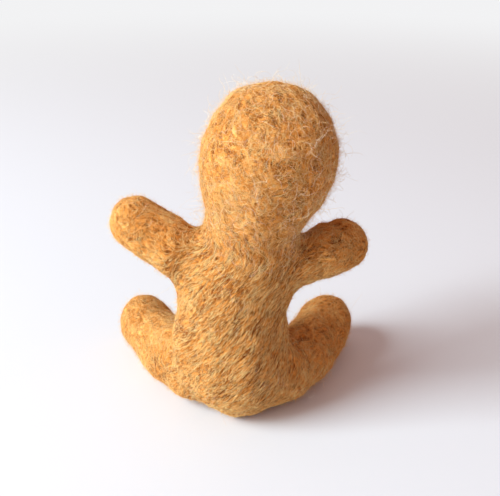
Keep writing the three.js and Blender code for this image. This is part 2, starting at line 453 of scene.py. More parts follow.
def new_group(name: str, inputs: dict[str, str], outputs: dict[str, str]) -> bpy.types.NodeTree:
    """Node group with named sockets.

    Args:
        name: Name of the group.
        inputs: Kind of each input, by its name.
        outputs: Kind of each output, by its name.

    Returns:
        The group, without nodes.
    """
    tree = bpy.data.node_groups.new(name, "ShaderNodeTree")
    for way, sockets in (("INPUT", inputs), ("OUTPUT", outputs)):
        for socket, kind in sockets.items():
            tree.interface.new_socket(socket, in_out=way, socket_type=f"NodeSocket{kind}")
    return tree


@cache
def felt_colour_group() -> bpy.types.NodeTree:
    """Group that colours matted wool by tone, from a dark ground through body to pale bloom, and darkens
    the needle pits to the ground colour, painted shade in the pits.

    Returns:
        The shared node group.
    """
    places = {"Place": "Vector", "Tone": "Float", "Pit": "Float"}
    dyes = dict.fromkeys(("Ground", "Body", "Bloom"), "Color")
    tree = new_group("felt_colour", {**places, **dyes}, {"Color": "Color"})
    sketch = NodeSketch(tree)
    given = sketch.node("NodeGroupInput").outputs
    hair = sketch.stain(given["Place"], HAIR_SCALE, HAIR_DETAIL)
    patch = sketch.stain(given["Place"], PATCH_SCALE, PATCH_DETAIL)
    tone = sketch.math("ADD", given["Tone"], sketch.math("ADD", hair, patch))
    body = sketch.mix(sketch.rise(tone, *BODY_TONES), given["Ground"], given["Body"])
    bloom = sketch.mix(sketch.rise(tone, *BLOOM_TONES), body, given["Bloom"])
    # Needle pits take the dark ground colour: painted shade in the pits.
    pit_shaded = sketch.mix(given["Pit"], bloom, given["Ground"])
    sketch.node("NodeGroupOutput", {"Color": pit_shaded})
    return tree


@cache
def felt_relief_group() -> bpy.types.NodeTree:
    """Group that raises fine hairs on matted wool.

    Returns:
        The shared node group.
    """
    tree = new_group("felt_relief", {"Place": "Vector"}, {"Height": "Float"})
    sketch = NodeSketch(tree)
    given = sketch.node("NodeGroupInput").outputs
    height = sketch.noise(given["Place"], RELIEF_SCALE, RELIEF_DETAIL)
    sketch.node("NodeGroupOutput", {"Height": height})
    return tree


@dataclass(frozen=True, kw_only=True)
class WoolFinish(ABC):
    """What every wool has: a dull surface with a faint sheen."""

    name: str
    roughness: float
    shine: float = 0.05
    shine_tint: Colour = (1.0, 1.0, 1.0, 1.0)
    sheen: float = 0.1
    sheen_tint: Colour = (1.0, 0.85, 0.6, 1.0)

    def material(self) -> bpy.types.Material:
        """Builds the material.

        Returns:
            The material, with the nodes of its kind of wool.
        """
        made = bpy.data.materials.new(self.name)
        made.use_nodes = True
        shader = made.node_tree.nodes["Principled BSDF"]
        shader.inputs["Roughness"].default_value = self.roughness
        shader.inputs["Specular IOR Level"].default_value = self.shine
        shader.inputs["Specular Tint"].default_value = self.shine_tint
        shader.inputs["Sheen Weight"].default_value = self.sheen
        shader.inputs["Sheen Tint"].default_value = self.sheen_tint
        self.dress(NodeSketch(made.node_tree), shader)
        return made

    @abstractmethod
    def dress(self, sketch: NodeSketch, shader: bpy.types.Node) -> None:
        """Adds the nodes of one kind of wool."""


@dataclass(frozen=True, kw_only=True)
class FeltFinish(WoolFinish):
    """Matted wool of one dye; on the coats its dark ground colour is painted shade between the fibres and
    in the needle pits.
    """

    ground: Colour
    body: Colour
    bloom: Colour
    roughness: float = 0.9
    relief: float = 0.5
    relief_depth: float = 0.12 * MM

    def dress(self, sketch: NodeSketch, shader: bpy.types.Node) -> None:
        """Colours the felt by the piece's own attributes and raises its hairs.

        Args:
            sketch: The material's node tree.
            shader: The material's shader.
        """
        place = sketch.node("Attribute", attribute_name=PLACE_ATTRIBUTE).outputs["Vector"]
        tone = sketch.node("Attribute", attribute_name=TONE_ATTRIBUTE).outputs["Fac"]
        # The pit attribute darkens the needle pits to the ground colour: painted shade.
        pit = sketch.node("Attribute", attribute_name=PIT_ATTRIBUTE).outputs["Fac"]
        dyes = {"Ground": self.ground, "Body": self.body, "Bloom": self.bloom}
        felt = {"Place": place, "Tone": tone, "Pit": pit, **dyes}
        colour = sketch.node("Group", felt, node_tree=felt_colour_group())
        hairs = sketch.node("Group", {"Place": place}, node_tree=felt_relief_group())
        bump = {"Strength": self.relief, "Distance": self.relief_depth, "Height": hairs.outputs["Height"]}
        sketch.feed(shader.inputs["Base Color"], colour.outputs["Color"])
        sketch.feed(shader.inputs["Normal"], sketch.node("Bump", bump).outputs["Normal"])


@dataclass(frozen=True, kw_only=True)
class StrandFinish(WoolFinish):
    """Single fibres, each of its own shade between dark and pale, and darker at both ends, painted shade
    where they dip into the felt.
    """

    dark: Colour
    mid: Colour
    pale: Colour
    roughness: float = 0.6
    shine_tint: Colour = (1.0, 0.8, 0.5, 1.0)
    end_reach: tuple[float, float] = (0.6, 1.0)
    end_painted_shade: float = 0.4

    def dress(self, sketch: NodeSketch, shader: bpy.types.Node) -> None:
        """Colours the fibres by the shade and the place along them in the fibre map.

        Args:
            sketch: The material's node tree.
            shader: The material's shader.
        """
        spot = sketch.node("UVMap", uv_map=FIBRE_MAP).outputs["UV"]
        parts = sketch.node("SeparateXYZ", {"Vector": spot}).outputs
        ends = sketch.math("ABSOLUTE", sketch.math("MULTIPLY_ADD", parts["Y"], 2.0, -1.0))
        lower = sketch.mix(sketch.rise(parts["X"], 0.0, 0.5), self.dark, self.mid)
        shade = sketch.mix(sketch.rise(parts["X"], 0.5, 1.0), lower, self.pale)
        # Both ends fade towards the dark colour: painted shade where a matted fibre dips into the felt.
        darker = sketch.math("MULTIPLY", sketch.rise(ends, *self.end_reach), self.end_painted_shade)
        sketch.feed(shader.inputs["Base Color"], sketch.mix(darker, shade, self.dark))


COAT_FELT = FeltFinish(
    name="coat_felt",
    # The very dark ground is painted shade, showing between the fibres and in the needle pits.
    ground=(0.22, 0.048, 0.006, 1.0),
    body=(0.72, 0.29, 0.058, 1.0),
    bloom=(0.94, 0.54, 0.165, 1.0),
)
CORE_FELT = FeltFinish(
    name="core_felt",
    ground=(0.52, 0.44, 0.32, 1.0),
    body=(0.76, 0.68, 0.54, 1.0),
    bloom=(0.86, 0.80, 0.68, 1.0),
)
STRAND_WOOL = StrandFinish(
    name="strand_wool",
    dark=(0.36, 0.085, 0.010, 1.0),
    mid=(0.89, 0.405, 0.082, 1.0),
    pale=(0.99, 0.75, 0.33, 1.0),
)
LOOSE_WOOL = StrandFinish(
    name="loose_wool",
    dark=(0.60, 0.32, 0.11, 1.0),
    mid=(0.95, 0.69, 0.38, 1.0),
    pale=(0.99, 0.90, 0.72, 1.0),
)


# The forms and the felted surface


@dataclass(frozen=True)
class Join:
    """How the wool of a join lies, each time under the joint and above it.

    The fill is the share of the crease that the collar closes, and the swell is how far the collar
    stands out, or draws in where it is negative. The root is the same for the coat next to it, over a
    reach along the form. The hollow is the middle of a dip beside the join that is filled as well, over
    the size of the bridge, and the ease is how far what stands out there is smoothed away.
    """

    fill: tuple[float, float]
    swell: tuple[float, float] = (0.0, 0.0)
    root: tuple[float, float] = (0.0, 0.0)
    reach: float = 14 * MM
    hollow: tuple[float, float, float] = (0.0, 0.0, 0.0)
    bridge: float = 0.0
    ease: float = 0.0


LEG_JOIN = Join(
    fill=(1.0, 0.0),
    swell=(0.9 * MM, -1.8 * MM),
    root=(0.4 * MM, -1.9 * MM),
    reach=32 * MM,
    hollow=(-12.5 * MM, -1 * MM, 3 * MM),
    bridge=13 * MM,
    ease=1.0,
)
JOINS = {
    HEAD_BODY: Join(fill=(0.9, 0.9)),
    "arm_left": Join(
        fill=(0.9, 1.0),
        root=(0.0, -0.4 * MM),
        hollow=(-7 * MM, 0.0, 48.5 * MM),
        bridge=13 * MM,
    ),
    "arm_right": Join(
        fill=(0.0, 0.1),
        swell=(-0.3 * MM, -1.4 * MM),
        root=(0.0, 0.1 * MM),
        reach=24 * MM,
    ),
    "leg_left": LEG_JOIN,
    "leg_right": replace(LEG_JOIN, reach=30 * MM, hollow=(12.5 * MM, -2 * MM, 3 * MM)),
}


@dataclass
class Form:
    """A head, arm or leg: where it flexes on the torso, and which way it points."""

    body: str
    collar: str
    root: Array
    axis: Array
    flex_length: float = 10 * MM
    flex_start: float = 0.0

    @classmethod
    def from_joint(cls, joint: dict) -> "Form":
        """Reads a form from its joint.

        Args:
            joint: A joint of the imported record.

        Returns:
            The form that the joint moves.
        """
        root = np.array(joint["pos_m"], float)
        middle = node_points(f"{joint['child']}_coat").mean(axis=0)
        collar = joint["deforming_nodes"][0]["node"]
        return cls(joint["child"], collar, root, unit(middle - root))

    @property
    def coat(self) -> str:
        """Name of its coat."""
        return f"{self.body}_coat"

    @property
    def core(self) -> str:
        """Name of its core."""
        return f"{self.body}_core"

    def height(self, points: Array) -> Array:
        """How far points lie along the form from its joint."""
        return (points - self.root) @ self.axis

    def bend(self, piece: bpy.types.Object) -> None:
        """Applies a finished piece's place to its mesh, and bends nothing.

        Args:
            piece: The piece.
        """
        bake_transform(piece)


@dataclass
class QuadNet:
    """Which vertices lie beside each other on a mesh of quads."""

    quads: Array
    count: int

    def __post_init__(self) -> None:
        """Lists every vertex's neighbours one after the other."""
        sides = quad_sides(self.quads)
        order = np.argsort(sides[:, 0], kind="stable")
        self.neighbours = sides[order, 1]
        self.offsets = np.searchsorted(sides[order, 0], np.arange(self.count))
        self.counts = np.diff(np.append(self.offsets, len(self.neighbours)))[:, None]

    @classmethod
    def of_mesh(cls, mesh: bpy.types.Mesh) -> "QuadNet":
        """Reads the quads of a mesh."""
        return cls(read_corners(mesh).reshape(-1, 4), len(mesh.vertices))

    def spread(self, values: Array, passes: int) -> Array:
        """Evens out values at the vertices.

        Args:
            values: A row for each vertex.
            passes: How often each vertex takes on half of its neighbours' mean.

        Returns:
            The evened values.
        """
        for _ in range(passes):
            around = np.add.reduceat(values[self.neighbours], self.offsets, axis=0)
            values = (values + around / self.counts) / 2
        return values


@dataclass(frozen=True)
class ShellMap:
    """Round map of a felt wall about its form's axis, with the inside small in a corner.

    The outside and the inside have the middle and the radius of their discs. The disc of a collar has
    a hole, and the lean is how far the torso's sides count beside its height.
    """

    outside: tuple[float, float] = (0.5, 0.46)
    inside: tuple[float, float] = (0.945, 0.04)
    start: tuple[float, float, float] = (0.3, 1.0, 0.2)
    torso_axis: tuple[float, float, float] = (0.0, 0.0, -1.0)
    torso_lean: float = 0.3
    collar_hole: float = 3 * MM

    def places(self, points: Array, form: Form | None, is_collar: bool) -> Array:
        """Lays out a wall.

        Args:
            points: Vertices of its outside.
            form: Its form, or none for the torso.
            is_collar: Whether it is a collar.

        Returns:
            A place for each vertex of the outside, then for each of the inside.
        """
        axis = np.array(self.torso_axis) if form is None else form.axis
        offset = points if form is None else points - form.root
        lean = self.torso_lean if form is None else 1.0
        depth = offset @ axis
        across = offset - depth[:, None] * axis
        side = unit(np.cross(axis, np.array(self.start)))
        bearing = np.arctan2(across @ np.cross(axis, side), across @ side)
        radius = lean * np.linalg.norm(across, axis=1) - depth
        radius = radius - radius.min() + self.collar_hole * is_collar
        radius /= radius.max()
        disc = np.stack([np.cos(bearing), np.sin(bearing)], axis=1) * radius[:, None]
        return np.concatenate([middle + disc * size for middle, size in (self.outside, self.inside)])


@dataclass
class FeltSurface:
    """The doll's whole wool surface, which is then cut into its coats and collars.

    The pitch of the strokes and the stray from them are in degrees. The ranges of stray and tone and the
    crowding of the pits are each for smooth and for matted felt.
    """

    forms: list[Form]
    voxel: float = 0.8 * MM
    wall: float = 1.6 * MM
    ease_passes: int = 10
    join_passes: int = 110
    join_spread: int = 9
    join_shrink: float = 0.25
    join_height: float = 5 * MM
    root_fade: float = 12 * MM
    least_fill: float = 0.01
    owner_passes: int = 25
    lumps: Swell = Swell(11 * MM, 0.2 * MM, SEED + 4)
    dents: Swell = Swell(4.5 * MM, 0.08 * MM, SEED + 5)
    patches: Swell = Swell(13 * MM, 0.6, SEED + 6)
    flecks: Swell = Swell(5 * MM, 0.4, SEED + 7)
    stroke_pitch: float = 48.0
    stroke_swing: Swell = Swell(9 * MM, 0.6, SEED + 1)
    stray_range: tuple[float, float] = (11.0, 45.0)
    matted_swing: Swell = Swell(3.5 * MM, 0.5, SEED + 2)
    matted_rise: tuple[float, float] = (-6 * MM, 8 * MM)
    matted_passes: int = 120
    crown_flow: tuple[float, float, float] = (0.45, -0.3, -0.85)
    streak_seed: int = SEED + 3
    streak_reach: float = 2.4 * MM
    streak_cell: float = 0.34 * MM
    streak_steps: int = 15
    streak_ends: float = 0.1
    streak_gain: float = 1.2
    streak_height: float = 0.06 * MM
    fibre_cell: float = 0.2 * MM
    pit_seed: int = SEED + 8
    pit_spacing: float = 2.4 * MM
    pit_length: float = 0.5 * MM
    pit_width: float = 0.28 * MM
    pit_depth: float = 0.36 * MM
    pit_strength: tuple[float, float] = (0.4, 1.0)
    pit_crowds: Swell = Swell(15 * MM, 1.0, SEED + 9)
    pit_crowd_rise: tuple[float, float] = (-1.0, 1.5)
    pit_crowding: tuple[float, float] = (1.4, 0.5)
    tone_range: tuple[float, float] = (0.36, 0.5)
    tone_streak: float = 0.25
    tone_mottle: float = 0.1
    layout: ShellMap = ShellMap()
    names: list[str] = field(init=False)
    node_tree: BVHTree = field(init=False)
    node_owners: Array = field(init=False)
    net: QuadNet = field(init=False)
    tree: BVHTree = field(init=False)
    base: Array = field(init=False)
    base_normals: Array = field(init=False)
    points: Array = field(init=False)
    normals: Array = field(init=False)
    quads: Array = field(init=False)
    flow: Array = field(init=False)
    matted: Array = field(init=False)
    stray: Array = field(init=False)
    mottle: Array = field(init=False)
    tone: Array = field(init=False)
    pits: Array = field(init=False)
    areas: Array = field(init=False)
    face_owner: Array = field(init=False)
    owner: Array = field(init=False)

    def __post_init__(self) -> None:
        """Names the coats and collars that the surface is cut into."""
        self.names = [TORSO_COAT]
        for form in self.forms:
            self.names += [form.coat, form.collar]

    def build(self) -> None:
        """Makes the surface: fused, shared out, combed and needled."""
        self.map_nodes()
        body = self.fuse()
        self.net = QuadNet.of_mesh(body.data)
        self.quads = self.net.quads
        self.base_normals = read_normals(body.data)
        self.base = read_points(body.data)
        self.measure()
        self.share_out()
        self.comb()
        self.needle(body.data)
        self.tree = BVHTree.FromPolygons(self.points.tolist(), self.quads.tolist())
        bpy.data.objects.remove(body)

    def map_nodes(self) -> None:
        """Gathers the faces of the coats and collars, to find the nearest of them."""
        points, triangles, owners = [], [], []
        total = 0
        for index, name in enumerate(self.names):
            mesh = frame["nodes"][name].data
            mesh.calc_loop_triangles()
            corners = np.array([triangle.vertices for triangle in mesh.loop_triangles])
            points.append(read_points(mesh))
            triangles.append(corners + total)
            owners.append(np.full(len(corners), index))
            total += len(points[-1])
        self.node_tree = BVHTree.FromPolygons(
            np.concatenate(points).tolist(), np.concatenate(triangles).tolist()
        )
        self.node_owners = np.concatenate(owners)

    def nearest_node(self, points: Array) -> Array:
        """Place in the list of names of the coat or collar nearest to each point."""
        return self.node_owners[[self.node_tree.find_nearest(Vector(point))[2] for point in points]]

    def indices(self, form: Form) -> list[int]:
        """Places in the list of names of a form's coat and collar."""
        return [self.names.index(form.coat), self.names.index(form.collar)]

    def form_of(self, name: str) -> Form | None:
        """The form that a coat or collar belongs to, or none for the torso's coat."""
        return next((form for form in self.forms if name in (form.coat, form.collar)), None)

    def fuse(self) -> bpy.types.Object:
        """Fuses copies of the CAD nodes into one eased surface.

        Returns:
            The fused object.
        """
        cores = [TORSO_CORE] + [form.core for form in self.forms]
        copies = [loose_copy(name) for name in self.names + cores]
        select_only(copies)
        bpy.ops.object.join()
        body = copies[0]
        apply_modifier(body, "REMESH", mode="VOXEL", voxel_size=self.voxel)
        body = self.largest_part(body)
        self.fill_joins(body)
        apply_modifier(body, "SMOOTH", factor=SMOOTHING, iterations=self.ease_passes)
        apply_modifier(body, "SUBSURF", levels=1, render_levels=1)
        return body

    def largest_part(self, body: bpy.types.Object) -> bpy.types.Object:
        """Drops what the fusing leaves inside the surface.

        Args:
            body: The fused object.

        Returns:
            Its largest part.
        """
        select_only([body])
        bpy.ops.object.mode_set(mode="EDIT")
        bpy.ops.mesh.select_all(action="SELECT")
        bpy.ops.mesh.separate(type="LOOSE")
        bpy.ops.object.mode_set(mode="OBJECT")
        parts = sorted(bpy.context.selected_objects, key=lambda part: len(part.data.vertices))
        for part in parts[:-1]:
            bpy.data.objects.remove(part)
        return parts[-1]

    def lay_joins(self, points: Array) -> Array:
        """Works out how the wool of the joins lies.

        Args:
            points: Vertices of the fused surface.

        Returns:
            A row for each point: how far it is filled, swells, draws in as a root and is eased.
        """
        owners = self.nearest_node(points)
        lay = np.zeros((len(points), 4))
        for form in self.forms:
            join = JOINS[form.body]
            rise = smoothstep(-self.join_height, self.join_height, points[:, 2] - form.root[2])
            is_coat, is_collar = (owners == index for index in self.indices(form))
            near = 1 - smoothstep(join.reach - self.root_fade, join.reach, form.height(points))
            parts = ((is_collar, join.fill), (is_collar, join.swell), (is_coat * near, join.root))
            for column, (own, pair) in enumerate(parts):
                lay[:, column] += own * ramp(pair, rise)
            if join.bridge:
                distance = np.linalg.norm(points - np.array(join.hollow), axis=1)
                filled = 1 - smoothstep(join.bridge / 2, join.bridge, distance)
                lay[:, 0] = np.maximum(lay[:, 0], filled)
                lay[:, 3] += filled * join.ease
        return lay

    def fill_joins(self, body: bpy.types.Object) -> None:
        """Smooths the collars until the creases of the joins are filled, and lets them swell.

        Args:
            body: The fused object.
        """
        points = read_points(body.data)
        normals = read_normals(body.data)
        lay = QuadNet.of_mesh(body.data).spread(self.lay_joins(points), self.join_spread)
        fill, swelling, root, ease = lay.T
        group = body.vertex_groups.new(name="joins")
        for vertex in np.flatnonzero(fill > self.least_fill):
            group.add([int(vertex)], float(fill[vertex]), "REPLACE")
        settings = {"factor": SMOOTHING, "iterations": self.join_passes, "vertex_group": group.name}
        apply_modifier(body, "SMOOTH", **settings)
        move = read_points(body.data) - points
        sinks = np.sum(move * normals, axis=1) < 0
        move[sinks] *= (self.join_shrink + (1 - self.join_shrink) * ease)[sinks, None]
        write_points(body.data, points + move + normals * (swelling + root)[:, None])

    def measure(self) -> None:
        """Works out each vertex's share of the area."""
        a, b, c, d = (self.base[self.quads[:, k]] for k in range(4))
        face_areas = np.linalg.norm(np.cross(c - a, d - b), axis=1) / 2
        self.areas = np.bincount(self.quads.ravel(), np.repeat(face_areas / 4, 4), len(self.base))

    def share_out(self) -> None:
        """Gives every face to the coat or collar that is nearest to it."""
        shares = np.eye(len(self.names))[self.nearest_node(self.base)]
        shares = self.net.spread(shares, self.owner_passes)
        self.owner = shares.argmax(axis=1)
        self.face_owner = shares[self.quads].sum(axis=1).argmax(axis=1)
        for form in self.forms:
            self.set_flex(form)

    def set_flex(self, form: Form) -> None:
        """Notes how far along the form its coat and collar last touch anything else, where its bend would
        start.

        Args:
            form: The form.
        """
        is_own = np.isin(self.face_owner, self.indices(form))
        count = len(self.base)
        inside = np.bincount(self.quads[is_own].ravel(), minlength=count) > 0
        outside = np.bincount(self.quads[~is_own].ravel(), minlength=count) > 0
        form.flex_start = float(form.height(self.base[inside & outside]).max())
        log.info("%s bends from %.1f mm", form.body, form.flex_start / MM)

    def comb(self) -> None:
        """Lays the direction of the needle strokes at every vertex, and how far fibres stray from it."""
        points, normals = self.base, self.base_normals
        around = unit(np.stack([-points[:, 1], points[:, 0], np.zeros(len(points))], axis=1))
        pitch = math.radians(self.stroke_pitch)
        flow = around * math.cos(pitch) + np.array([0, 0, math.sin(pitch)])
        matted = np.zeros(len(points))
        for form in self.forms:
            own = np.isin(self.owner, self.indices(form))
            share = smoothstep(*self.matted_rise, form.height(points)) * own
            along = np.array(self.crown_flow) if form.body == HEAD_BODY else form.axis
            side = np.sign(flow @ along + NUDGE)[:, None]
            flow = flow * (1 - share[:, None]) + along * side * share[:, None]
            matted += share
        flow = self.net.spread(flow, self.matted_passes // 2)
        flow = unit(flow - normals * np.sum(flow * normals, axis=1, keepdims=True))
        swing = self.stroke_swing.at(points) + self.matted_swing.at(points) * matted
        self.matted = self.net.spread(matted[:, None], self.matted_passes)[:, 0]
        self.stray = np.radians(ramp(self.stray_range, self.matted))
        self.flow = unit(turned(flow, normals, swing * self.stray))

    def streaks(self, points: Array, flow: Array, cell: float) -> Array:
        """Random streaks that run with the strokes.

        Args:
            points: Where the streaks are read.
            flow: Direction of the strokes there.
            cell: Width of a streak.

        Returns:
            One value for each point, of about unit spread.
        """
        total = np.zeros(len(points))
        for step in np.linspace(-1, 1, self.streak_steps):
            weight = math.cos(step * math.pi / 2) + self.streak_ends
            beside = points + flow * (step * self.streak_reach)
            total += weight * (grain(beside, cell, self.streak_seed) - 0.5)
        return total * self.streak_gain

    def needle(self, mesh: bpy.types.Mesh) -> None:
        """Shapes lumps, strokes and needle pits, and keeps their tone.

        Args:
            mesh: The fused mesh, which takes the final shape.
        """
        points = self.base
        streak = self.streaks(points, self.flow, self.streak_cell)
        lumps = self.lumps.at(points) + self.dents.at(points)
        self.pits = self.prick()
        rise = lumps + streak * self.streak_height - self.pits * self.pit_depth
        self.points = points + self.base_normals * rise[:, None]
        self.points[:, 2] = np.maximum(self.points[:, 2], 0)
        write_points(mesh, self.points)
        self.normals = read_normals(mesh)
        self.mottle = self.patches.at(points) + self.flecks.at(points)
        ground = ramp(self.tone_range, self.matted)
        self.tone = ground + self.tone_streak * streak + self.tone_mottle * self.mottle

    def prick(self) -> Array:
        """Needle pits at random places, drawn out along the strokes.

        Returns:
            For each vertex, from 0 on the surface to 1 in the middle of a pit.
        """
        rng = np.random.default_rng(self.pit_seed)
        crowds = smoothstep(*self.pit_crowd_rise, self.pit_crowds.at(self.base))
        crowding = crowds + ramp(self.pit_crowding, self.matted)
        chance = self.areas * crowding / self.pit_spacing**2
        places = np.flatnonzero(rng.random(len(self.base)) < chance)
        strength = rng.uniform(*self.pit_strength, len(places))
        tree = KDTree(len(places))
        for index, place in enumerate(places):
            tree.insert(Vector(self.base[place]), index)
        tree.balance()
        nearest = np.array([tree.find(Vector(point))[1] for point in self.base])
        offset = self.base - self.base[places][nearest]
        along = np.sum(offset * self.flow[places][nearest], axis=1)
        across = np.sum(offset * offset, axis=1) - along**2
        spread = (along / self.pit_length) ** 2 + across / self.pit_width**2
        return strength[nearest] * np.exp(-spread)

    def settle(self, points: Array) -> tuple[Array, Array, Array]:
        """Brings points onto the surface.

        Args:
            points: Points near it.

        Returns:
            The nearest places, the normals there and the vertices beside them.
        """
        hits = [self.tree.find_nearest(Vector(point)) for point in points]
        places = np.array([hit[0] for hit in hits])
        vertices = self.quads[np.array([hit[2] for hit in hits]), 0]
        return places, self.normals[vertices], vertices

    def keep_under(self, points: Array, depth: float) -> Array:
        """Draws in the points that lie too close under the surface.

        Args:
            points: Points of a core.
            depth: How far under the surface they have to lie.

        Returns:
            The points, moved where they lay too close.
        """
        places, normals, _ = self.settle(points)
        under = np.sum((places - points) * normals, axis=1)
        return points - normals * np.maximum(depth - under, 0)[:, None]

    def cut(self, name: str) -> bpy.types.Object:
        """Cuts out the wall of one coat or collar.

        Args:
            name: The CAD node that it stands for.

        Returns:
            A closed shell with its felt attributes and map.
        """
        chosen = self.quads[self.face_owner == self.names.index(name)]
        used, outer = np.unique(chosen.ravel(), return_inverse=True)
        outer = outer.reshape(-1, 4)
        count = len(used)
        under = self.base[used] - self.base_normals[used] * self.wall
        under[:, 2] = np.maximum(under[:, 2], self.wall / 2)
        faces = [outer, outer[:, ::-1] + count, self.rim(outer, count)]
        title = name.replace("coat", "felt").replace("collar", "felt_join")
        shell = add_mesh(title, np.concatenate([self.points[used], under]), faces)
        self.add_felt_data(shell.data, used)
        places = self.layout.places(self.base[used], self.form_of(name), name.endswith("collar"))
        set_map(shell.data, BAKE_MAP, places)
        bent = np.zeros((len(shell.data.loops), 3))
        bent[: outer.size] = self.normals[used][outer.ravel()]
        shell.data.normals_split_custom_set(bent.tolist())
        return shell

    def rim(self, outer: Array, count: int) -> Array:
        """Closes a wall between its outside and its inside.

        Args:
            outer: Quads of the outside.
            count: Vertices of the outside, which those of the inside follow.

        Returns:
            A quad for each open side of the outside.
        """
        sides = quad_sides(outer).astype(np.int64)
        codes = sides[:, 0] * count + sides[:, 1]
        facing = sides[:, 1] * count + sides[:, 0]
        start, end = sides[~np.isin(codes, facing)].T
        return np.stack([end, start, start + count, end + count], axis=1)

    def add_felt_data(self, mesh: bpy.types.Mesh, used: Array) -> None:
        """Stores the felt's place, tone and pits on both sides of a wall.

        Args:
            mesh: The wall.
            used: The surface's vertices that it takes up.
        """
        both = np.concatenate([used, used])
        set_attribute(mesh, PLACE_ATTRIBUTE, self.base[both] / MM)
        set_attribute(mesh, TONE_ATTRIBUTE, self.tone[both])
        set_attribute(mesh, PIT_ATTRIBUTE, self.pits[both])


# Fibres


@dataclass
class Fibres:
    """Fibres of one kind: the vertex that each one grows from, its stations, radius and shade."""

    roots: Array
    paths: Array
    radii: Array
    shades: Array

    def chosen(self, keep: Array) -> "Fibres":
        """The fibres that a mask keeps."""
        return Fibres(self.roots[keep], self.paths[keep], self.radii[keep], self.shades[keep])


@dataclass(frozen=True, kw_only=True)
class FibreKind(ABC):
    """One kind of fibre.

    The cover is the share of the fibres on smooth and on matted felt, or for loose hair beside the head
    and on it. Under is the share that is kept under the doll. The spread of the shades is for smooth
    and for matted felt too.
    """

    label: str
    spacing: float
    length: tuple[float, float]
    radius: tuple[float, float]
    stations: int
    cover: tuple[float, float]
    under: float = 0.0
    is_loose: bool = False
    shade_middle: float = 0.5
    shade_mottle: float = 0.1
    pit_painted_shade: float = 0.15
    shade_spread: tuple[float, float] = (0.28, 0.21)
    shade_range: tuple[float, float] = (0.04, 0.96)

    @abstractmethod
    def grow(self, surface: FeltSurface, roots: Array, rng: np.random.Generator) -> Fibres:
        """Grows a fibre from each root."""

    def shades(self, surface: FeltSurface, roots: Array, rng: np.random.Generator) -> Array:
        """Shades the fibres by the felt under them, darker over needle pits as painted shade.

        Args:
            surface: The felt.
            roots: Vertices where the fibres begin.
            rng: Source of the chances.

        Returns:
            A shade for each fibre, from about 0, dark, to about 1, pale.
        """
        shade = self.shade_middle + self.shade_mottle * surface.mottle[roots]
        # Fibres rooted in a needle pit are darker: painted shade in the pit.
        shade = shade - self.pit_painted_shade * surface.pits[roots]
        return shade + rng.normal(0, 1, len(roots)) * ramp(self.shade_spread, surface.matted[roots])


@dataclass(frozen=True, kw_only=True)
class MattedStrand(FibreKind):
    """Fibre that is needled in at both ends and lies along the strokes.

    The painted lift shade makes the raised fibres paler and the low ones darker, painted light and shade
    for how high each fibre lies, and the calm is how far contrast and thickness fade on matted felt. The
    curl is in degrees for each station, and matted felt multiplies it by the matted curl. A fibre stays if
    its streak is above a chance about the crest, and if no pit that it crosses is deeper than a chance
    from the shy range.
    """

    lift: tuple[float, float]
    disorder: float
    paleness: float = 0.0
    streakiness: float = 1.0
    painted_lift_shade: float = 0.45
    calm: float = 0.3
    scatter: float = 0.2 * MM
    sink: float = 0.1 * MM
    arch: float = 0.7
    curl: float = 12.0
    matted_curl: float = 3.0
    crest: tuple[float, float] = (-0.8, 0.45)
    shy: tuple[float, float] = (0.25, 0.75)

    def grow(self, surface: FeltSurface, roots: Array, rng: np.random.Generator) -> Fibres:
        """Lays fibres over the surface, few of them across a needle pit.

        Args:
            surface: The felt.
            roots: Vertices where the fibres begin.
            rng: Source of the chances.

        Returns:
            The fibres.
        """
        count = len(roots)
        matted = surface.matted[roots]
        lift = rng.uniform(*self.lift, count)
        heading = rng.normal(0, self.disorder, count) * surface.stray[roots]
        turn = np.radians(rng.normal(0, self.curl, count) * (1 + (self.matted_curl - 1) * matted))
        step = rng.uniform(*self.length, count) / (self.stations - 1) * rng.choice([-1.0, 1.0], count)
        place = surface.points[roots] + rng.normal(0, self.scatter, (count, 3))
        streak = surface.streaks(place, surface.flow[roots], surface.fibre_cell)
        headings = [heading + turn * index for index in range(self.stations)]
        paths, pit = self.lay(surface, place, lift, headings, step)
        calm = 1 - self.calm * matted
        # Raised fibres paler and low ones darker: painted light and shade by height.
        height = (lift - self.lift[0]) / (self.lift[1] - self.lift[0]) - 0.5
        contrast = (self.streakiness * streak + self.painted_lift_shade * height) * calm
        shades = self.shades(surface, roots, rng) + self.paleness + contrast
        radii = ramp(self.radius, rng.random(count) ** 2) * calm
        grown = Fibres(roots, paths, radii, np.clip(shades, *self.shade_range))
        on_crest = streak > rng.normal(*self.crest, count)
        return grown.chosen(on_crest & (pit < rng.uniform(*self.shy, count)))

    def lay(
        self, surface: FeltSurface, place: Array, lift: Array, headings: list[Array], step: Array
    ) -> tuple[Array, Array]:
        """Leads fibres over the surface.

        Args:
            surface: The felt.
            place: Where each fibre begins.
            lift: How high its middle stands.
            headings: Its angle to the strokes at each station.
            step: How far apart its stations are.

        Returns:
            The stations of the fibres, and the depth of the deepest pit that each one crosses.
        """
        stations = []
        last = self.stations - 1
        pit = np.zeros(len(place))
        for index, heading in enumerate(headings):
            place, normal, beside = surface.settle(place)
            pit = np.maximum(pit, surface.pits[beside])
            rise = lift * math.sin(math.pi * index / last) ** self.arch
            if index in (0, last):
                rise = np.full(len(place), -self.sink)
            stations.append(place + normal * rise[:, None])
            ahead = turned(surface.flow[beside], normal, heading) * step[:, None]
            pit = np.maximum(pit, surface.pits[surface.settle(place + ahead / 2)[2]])
            place = place + ahead
        return np.stack(stations, axis=1), pit


